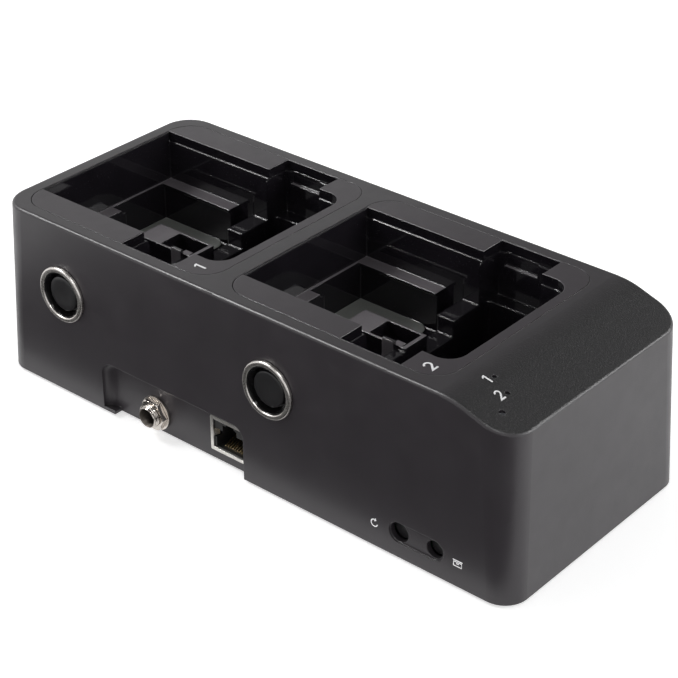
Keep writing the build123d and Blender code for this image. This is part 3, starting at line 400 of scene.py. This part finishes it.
def circuit_board(name):
    """Green solder mask with copper routes showing faintly through it."""
    n = Nodes(name)
    routes = n.spread(n.cells(0.0016, "DISTANCE_TO_EDGE"), 0.0, 1.0, 0.03, 0.09)
    weave = n.noise(0.0005, detail=2, stretch=(1, 4, 1))
    n.feed(
        colour=n.blend(routes, (0.030, 0.115, 0.055), (0.012, 0.062, 0.032)),
        rough=n.spread(weave, 0.26, 0.40),
        normal=n.bump(routes, 0.00003, 0.5, n.rounded(0.0001)),
    )
    return n.material


def paper_label(name):
    """Blank silver-grey label stock with a fine paper tooth."""
    n = Nodes(name)
    tooth = n.noise(0.00025, detail=3)
    n.feed(
        colour=n.blend(n.spread(tooth, 0, 1), (0.42, 0.42, 0.41), (0.52, 0.52, 0.51)),
        rough=n.spread(tooth, 0.38, 0.55),
        normal=n.bump(tooth, 0.000008, 0.6),
    )
    return n.material


def clear_plastic(name, colour, rough, clear):
    """Light pipe or lens: partly clear with faint flow marks."""
    n = Nodes(name)
    flow = n.noise(0.0011, detail=2)
    n.feed(
        colour=n.blend(n.spread(flow, 0, 1), shade(colour, 0.85), colour),
        rough=n.spread(flow, rough, rough + 0.1),
        normal=n.bump(flow, 0.00002, 0.4, n.rounded(0.0001)),
    )
    n.fix(Transmission_Weight=clear, IOR=1.49)
    return n.material


materials = {
    "housing": housing_plastic(),
    "bezel": bezel_plastic(),
    "well_gloss": liner_plastic(),
    "cup_gloss": polished_plastic("cup_polish", (0.0060, 0.0056, 0.0060), edge=0.00015),
    "contact_plastic": moulded_plastic("insulator_black", (0.008, 0.008, 0.0082), 0.42, edge=0.00015),
    "button_plastic": moulded_plastic("button_grey", (0.010, 0.0095, 0.0105), 0.34, grain=0.0003),
    "switch_plastic": moulded_plastic("switch_black", (0.012, 0.012, 0.012), 0.38, edge=0.0001),
    "nut_plastic": moulded_plastic("nut_black", (0.015, 0.015, 0.015), 0.42),
    "bracket_plastic": moulded_plastic("bracket_black", (0.020, 0.020, 0.020), 0.48),
    "cable_plastic": moulded_plastic("cable_grey", (0.30, 0.30, 0.31), 0.42, grain=0.0007, edge=0.0001),
    "chip_plastic": moulded_plastic("chip_epoxy", (0.016, 0.016, 0.017), 0.55, grain=0.0002, edge=0.0001),
    "transformer_core": moulded_plastic("ferrite", (0.035, 0.030, 0.026), 0.5, grain=0.0006),
    "print_white": printed_ink("white_ink", (0.86, 0.86, 0.87)),
    "label": paper_label("label_stock"),
    "foot_rubber": soft_rubber("foot_rubber", (0.012, 0.012, 0.012)),
    "ring_metal": metal("ring_satin", (0.58, 0.555, 0.53), 0.28, depth=0.0000003, tarnish=0.95),
    "jack_nickel": nickel_plate(),
    "shield_tin": metal("tin_sheet", (0.62, 0.60, 0.57), 0.30, brush=(6, 1, 1)),
    "gold_contact": metal("gold_plate", (0.86, 0.66, 0.36), 0.2),
    "spring_steel": metal("spring_wire", (0.55, 0.55, 0.55), 0.25),
    "screw_steel": metal("zinc_screw", (0.42, 0.42, 0.43), 0.32),
    "heat_sink_metal": metal("anodised_fins", (0.10, 0.10, 0.11), 0.4, brush=(8, 1, 1)),
    "capacitor_can": metal("capacitor_sleeve", (0.16, 0.17, 0.22), 0.35),
    "circuit_board": circuit_board("solder_mask"),
    "light_pipe": clear_plastic("smoked_pipe", (0.30, 0.31, 0.33), 0.12, 0.55),
    "lamp_lens": clear_plastic("lamp_resin", (0.80, 0.82, 0.72), 0.2, 0.3),
}

node_slots = {row["node"]: row["material_slot"] for row in frame["record"]["subparts"]}
for node_name, node in frame["nodes"].items():
    node.data.materials.clear()
    node.data.materials.append(materials[node_slots[node_name]])


# ---------------------------------------------------------------- mesh helpers
def put(name, mesh_maker, slot, body, replaced=(), smooth_angle=35):
    """Makes an object from a bmesh, gives it its finish, and rides it on a body."""
    bm = bmesh.new()
    mesh_maker(bm)
    bmesh.ops.remove_doubles(bm, verts=bm.verts, dist=1e-7)
    bmesh.ops.recalc_face_normals(bm, faces=bm.faces)
    mesh = bpy.data.meshes.new(name)
    bm.to_mesh(mesh)
    bm.free()
    mesh.materials.append(materials[slot])
    for polygon in mesh.polygons:
        polygon.use_smooth = True
    mesh.set_sharp_from_angle(angle=math.radians(smooth_angle))
    piece = bpy.data.objects.new(name, mesh)
    scene.collection.objects.link(piece)
    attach(piece, body)
    if replaced:
        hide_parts(*replaced)


def arc(centre, radius, start, end, steps):
    """Points of an arc in a profile, angles in degrees."""
    points = []
    for i in range(steps + 1):
        angle = math.radians(start + (end - start) * i / steps)
        points.append((centre[0] + radius * math.cos(angle), centre[1] + radius * math.sin(angle)))
    return points


def turned_ring(bm, origin, depth, radius_at, segments):
    """Ring of points about the Y axis through origin, depth millimetres toward +Y.

    radius_at gives the radius, in millimetres, for an angle.
    """
    ring = []
    for i in range(segments):
        angle = 2 * math.pi * i / segments
        radius = radius_at(angle)
        offset = Vector((radius * math.cos(angle), depth, radius * math.sin(angle))) * MM
        ring.append(bm.verts.new(origin + offset))
    return ring


def join_rings(bm, rings, closed=True):
    """Faces between neighbouring rings, and from the last back to the first when closed."""
    count = len(rings) if closed else len(rings) - 1
    for j in range(count):
        near, far = rings[j], rings[(j + 1) % len(rings)]
        for i in range(len(near)):
            k = (i + 1) % len(near)
            bm.faces.new((near[i], near[k], far[k], far[i]))


def lathe(bm, profile, origin, segments, closed=True):
    """Turns a profile of (radius, forward) pairs, in millimetres, about the Y axis through origin.

    Forward is toward -Y, out of the housing's connector side.
    """
    rings = []
    for radius, forward in profile:
        rings.append(turned_ring(bm, origin, -forward, lambda angle: radius, segments))
    join_rings(bm, rings, closed)


# ---------------------------------------------------------------- metal rings and round buttons
ring_inner = 8.35
ring_outer = 10.1
sleeve_outer = 9.2
sleeve_depth = 5.6
ring_forward = 1.3
button_radius = 6.27
stem_radius = 1.6


def ring_profile():
    """Rounded rim outside, a nearly flat crown, a rounded lip at the bore and a sleeve behind."""
    profile = [(ring_inner, -sleeve_depth), (ring_inner, 0.55)]
    profile += arc((ring_inner + 0.45, 0.85), 0.45, 180, 90, 6)
    profile += [(ring_outer - 0.75, ring_forward)]
    profile += arc((ring_outer - 0.65, ring_forward - 0.65), 0.65, 90, 0, 10)
    profile += [(ring_outer, 0.02), (sleeve_outer, 0.02), (sleeve_outer, -sleeve_depth)]
    return profile


def button_profile():
    """Slightly dished face with a rounded edge, and a stem behind it."""
    profile = [(0.01, -0.28), (1.2, -0.27), (2.6, -0.22), (4.2, -0.14)]
    profile += arc((button_radius - 0.55, -0.6), 0.55, 80, 0, 8)
    profile += [(button_radius, -6.6), (stem_radius, -6.6), (stem_radius, -8.1), (0.01, -8.1)]
    return profile


for number in (1, 2):
    ring_node = f"ring_bezel_{number}"
    ring_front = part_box(ring_node)[0].y
    face = middle(ring_node)
    face.y = ring_front + ring_forward * MM
    put(
        f"satin_ring_{number}",
        lambda bm: lathe(bm, ring_profile(), face, 160),
        "ring_metal",
        "dock",
        [ring_node],
    )
    put(
        f"dished_button_{number}",
        lambda bm: lathe(bm, button_profile(), face, 128, closed=False),
        "button_plastic",
        f"round_button_{number}_body",
        [f"round_button_{number}"],
    )


# ---------------------------------------------------------------- threaded jack barrel
thread_pitch = 0.79
thread_root = 3.62
thread_crest = 3.97
thread_length = 6.9
thread_start = 0.35
barrel_bore = 3.15
mouth_chamfer = 0.25
rings_per_turn = 12
barrel_segments = 96


def thread_radius(angle, depth):
    """Radius of the threaded surface: a helical ridge that grows from the mouth, which is chamfered."""
    turn = (depth / thread_pitch + angle / (2 * math.pi)) % 1.0
    ridge = min(1.0, max(0.0, 1.35 - abs(turn - 0.5) * 4.2))
    runout = min(1.0, max(0.0, (depth - thread_start) / 0.5))
    chamfer = max(0.0, mouth_chamfer - depth) * 0.8
    return thread_root + (thread_crest - thread_root) * ridge * runout - chamfer


def threaded_barrel(bm):
    """Barrel with a real helical thread, a chamfered mouth and a plain tail inside the housing."""
    low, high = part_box("jack_barrel")
    mouth = Vector((middle("jack_barrel").x, low.y, mounts["power_jack"].z))
    step = thread_pitch / rings_per_turn
    tail = (high.y - low.y) / MM
    rings = []
    for j in range(int(thread_length / step) + 1):
        depth = j * step
        ring = turned_ring(bm, mouth, depth, lambda angle: thread_radius(angle, depth), barrel_segments)
        rings.append(ring)
    plain = [
        (thread_root, thread_length),
        (thread_root, tail),
        (barrel_bore, tail),
        (barrel_bore, thread_start),
        (barrel_bore + mouth_chamfer, 0.0),
    ]
    for radius, depth in plain:
        rings.append(turned_ring(bm, mouth, depth, lambda angle: radius, barrel_segments))
    join_rings(bm, rings)


put("threaded_barrel", threaded_barrel, "jack_nickel", "dock", ["jack_barrel"], smooth_angle=60)


# ---------------------------------------------------------------- printed marks beside the side buttons
ink_lift = 0.02 * MM
stroke_half_width = 0.17


def printed_strokes(strokes, centre_x, centre_z):
    """Ribbons of ink along strokes of (x, z) millimetres, laid on the housing's -Y face."""
    housing = frame["nodes"]["upper_housing"]
    to_housing = housing.matrix_world.inverted()

    def on_face(x, z):
        outside = Vector(((centre_x + x) * MM, -60 * MM, (centre_z + z) * MM))
        place = housing.ray_cast(to_housing @ outside, Vector((0, 1, 0)))[1]
        return housing.matrix_world @ place - Vector((0, ink_lift, 0))

    def maker(bm):
        for stroke in strokes:
            previous = None
            for i, point in enumerate(stroke):
                ahead = Vector(stroke[min(i + 1, len(stroke) - 1)])
                behind = Vector(stroke[max(i - 1, 0)])
                along = (ahead - behind).normalized()
                side = Vector((-along.y, along.x)) * stroke_half_width
                pair = [
                    bm.verts.new(on_face(point[0] + side.x, point[1] + side.y)),
                    bm.verts.new(on_face(point[0] - side.x, point[1] - side.y)),
                ]
                if previous:
                    bm.faces.new((previous[0], previous[1], pair[1], pair[0]))
                previous = pair

    return maker


restart_sign = [
    arc((0, 0), 1.25, 60, 350, 24),
    [(0.35, 1.75), (0.62, 1.08), (0.0, 0.72)],
]
store_sign = [
    [(-1.5, -1.0), (-1.5, 0.5), (1.5, 0.5), (1.5, -1.0), (-1.5, -1.0)],
    [(-1.8, 1.05), (1.8, 1.05)],
    [(-0.5, -0.05), (0.5, -0.05)],
]
side_signs = [
    ("restart_mark", restart_sign, "reset_button", -9.4),
    ("store_mark", store_sign, "storage_button", 9.0),
]
for mark_name, strokes, button, aside in side_signs:
    beside = middle(button) / MM
    put(mark_name, printed_strokes(strokes, beside.x + aside, beside.z - 0.6), "print_white", "dock")


def pressed_springs(number):
    """A copy of the coil springs of one bay, with its own mesh, riding on the dock in place of the CAD
    node.
    """
    node = frame["nodes"][f"contact_springs_{number}"]
    springs = bpy.data.objects.new(f"coil_springs_{number}", node.data.copy())
    scene.collection.objects.link(springs)
    springs.matrix_world = node.matrix_world.copy()
    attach(springs, "dock")
    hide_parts(node.name)
    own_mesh(springs)


for number in (1, 2):
    pressed_springs(number)


# ---------------------------------------------------------------- floor, light and camera
def floor_finish():
    """Pale, softly glowing sweep with a barely visible tooth."""
    n = Nodes("pale_floor")
    tooth = n.noise(0.002, detail=3)
    n.feed(
        colour=n.blend(n.spread(tooth, 0, 1), (0.88, 0.88, 0.88), (0.90, 0.90, 0.90)),
        rough=n.spread(tooth, 0.6, 0.65),
    )
    n.fix(Emission_Color=(1.0, 1.0, 1.0, 1.0), Emission_Strength=0.55)
    return n.material


def flat_sheet(name, low_x, high_x, low_y, high_y, height, material):
    """Level rectangle of stage material."""
    bm = bmesh.new()
    corners = [(low_x, low_y), (high_x, low_y), (high_x, high_y), (low_x, high_y)]
    bm.faces.new([bm.verts.new((x, y, height)) for x, y in corners])
    mesh = bpy.data.meshes.new(name)
    bm.to_mesh(mesh)
    bm.free()
    mesh.materials.append(material)
    sheet = bpy.data.objects.new(name, mesh)
    scene.collection.objects.link(sheet)
    return sheet


def reflection_shade_sheet(name, painted_glow):
    """Dark sheet that paints shade into reflections; a glow, where set, paints a dimmer light there."""
    n = Nodes(name)
    weave = n.noise(0.001, detail=2)
    n.feed(
        colour=n.blend(n.spread(weave, 0, 1), (0.02, 0.02, 0.02), (0.03, 0.03, 0.03)),
        rough=n.spread(weave, 0.85, 0.95),
    )
    n.fix(Emission_Color=(1.0, 1.0, 1.0, 1.0), Emission_Strength=painted_glow)
    return n.material


def make_floor():
    """Wide pale floor, with a painted shadow sheet in front and a dim painted shade sheet above that only
    reflections see.
    """
    flat_sheet("floor", -4.0, 4.0, -4.0, 4.0, 0.0, floor_finish())
    # Painted shadow: a dark sheet on the floor in front of the dock, seen only in reflections.
    front = flat_sheet("painted_shadow_sheet", -0.165, 0.30, -0.42, -0.055, 0.0006, reflection_shade_sheet("painted_shadow_cloth", 0.0))
    # Painted shade of the sky: a dim glowing sheet above, seen only in reflections.
    above = flat_sheet("painted_sky_shade_sheet", -0.150, 0.35, 0.00, 0.45, 0.19, reflection_shade_sheet("painted_sky_shade_cloth", 0.22))
    for shade_sheet in (front, above):
        shade_sheet.visible_camera = False
        shade_sheet.visible_diffuse = False
        shade_sheet.visible_shadow = False
        shade_sheet.visible_transmission = False


def area_light(name, place, target, width, height, power, glint=False):
    """Soft box at place that faces target; a glint lights only polished surfaces and edges."""
    data = bpy.data.lights.new(name, "AREA")
    data.shape = "RECTANGLE"
    data.size = width
    data.size_y = height
    data.energy = power
    light = bpy.data.objects.new(name, data)
    scene.collection.objects.link(light)
    light.location = place
    light.visible_diffuse = not glint
    direction = Vector(target) - Vector(place)
    light.rotation_euler = direction.to_track_quat("-Z", "Y").to_euler()


def studio_sky():
    """Pale surround: white low down all round, dimmer overhead."""
    world = bpy.data.worlds.new("studio")
    scene.world = world
    world.use_nodes = True
    tree = world.node_tree
    background = tree.nodes["Background"]
    background.inputs["Color"].default_value = (1.0, 1.0, 1.0, 1.0)
    coordinates = tree.nodes.new("ShaderNodeTexCoord")
    split = tree.nodes.new("ShaderNodeSeparateXYZ")
    ramp = tree.nodes.new("ShaderNodeMapRange")
    ramp.interpolation_type = "SMOOTHSTEP"
    ramp.inputs["From Min"].default_value = 0.43
    ramp.inputs["From Max"].default_value = 0.62
    ramp.inputs["To Min"].default_value = 1.20
    ramp.inputs["To Max"].default_value = 0.26
    tree.links.new(coordinates.outputs["Generated"], split.inputs[0])
    tree.links.new(split.outputs["Z"], ramp.inputs["Value"])
    tree.links.new(ramp.outputs[0], background.inputs["Strength"])


def make_camera():
    """Camera at the viewing angle of a product photograph, looking down on the connector side."""
    azimuth = math.radians(40.65)
    elevation = math.radians(30.89)
    roll = math.radians(-0.289)
    distance = 0.67419
    slide_right = -0.003628
    slide_up = -0.025836
    base_height = 0.001
    back = Vector(
        (
            math.sin(azimuth) * math.cos(elevation),
            -math.cos(azimuth) * math.cos(elevation),
            math.sin(elevation),
        )
    )
    right = (-back).cross(Vector((0, 0, 1))).normalized()
    up = right.cross(-back)
    right_turned = right * math.cos(roll) + up * math.sin(roll)
    up_turned = up * math.cos(roll) - right * math.sin(roll)
    place = back * distance - right_turned * slide_right - up_turned * slide_up
    place.z += base_height
    data = bpy.data.cameras.new("camera")
    data.sensor_width = 36.0
    data.lens = 105.64
    data.clip_start = 0.01
    data.clip_end = 50.0
    camera = bpy.data.objects.new("camera", data)
    scene.collection.objects.link(camera)
    turn = Matrix((right_turned, up_turned, back)).transposed()
    camera.matrix_world = Matrix.Translation(place) @ turn.to_4x4()
    scene.camera = camera


make_floor()
studio_sky()
area_light("fill_right", (1.6, 0.9, 1.1), (0.3, 0.1, 0.0), 1.2, 1.2, 10)
area_light("rim_left", (-1.1, -0.35, 1.15), (-0.05, 0, 0.05), 0.45, 0.45, 7)
glint_distance = 1.6
glints = [
    ((-0.56, -0.35, 0.75), 20),
    ((0.60, 0.65, 0.46), 18),
    ((0.41, -0.32, 0.86), 9),
]
for number, (direction, power) in enumerate(glints):
    place = Vector(direction) * glint_distance
    area_light(f"glint_{number}", place, (0, 0, 0.03), 0.3, 0.3, power, glint=True)
make_camera()
scene.view_settings.view_transform = "Standard"
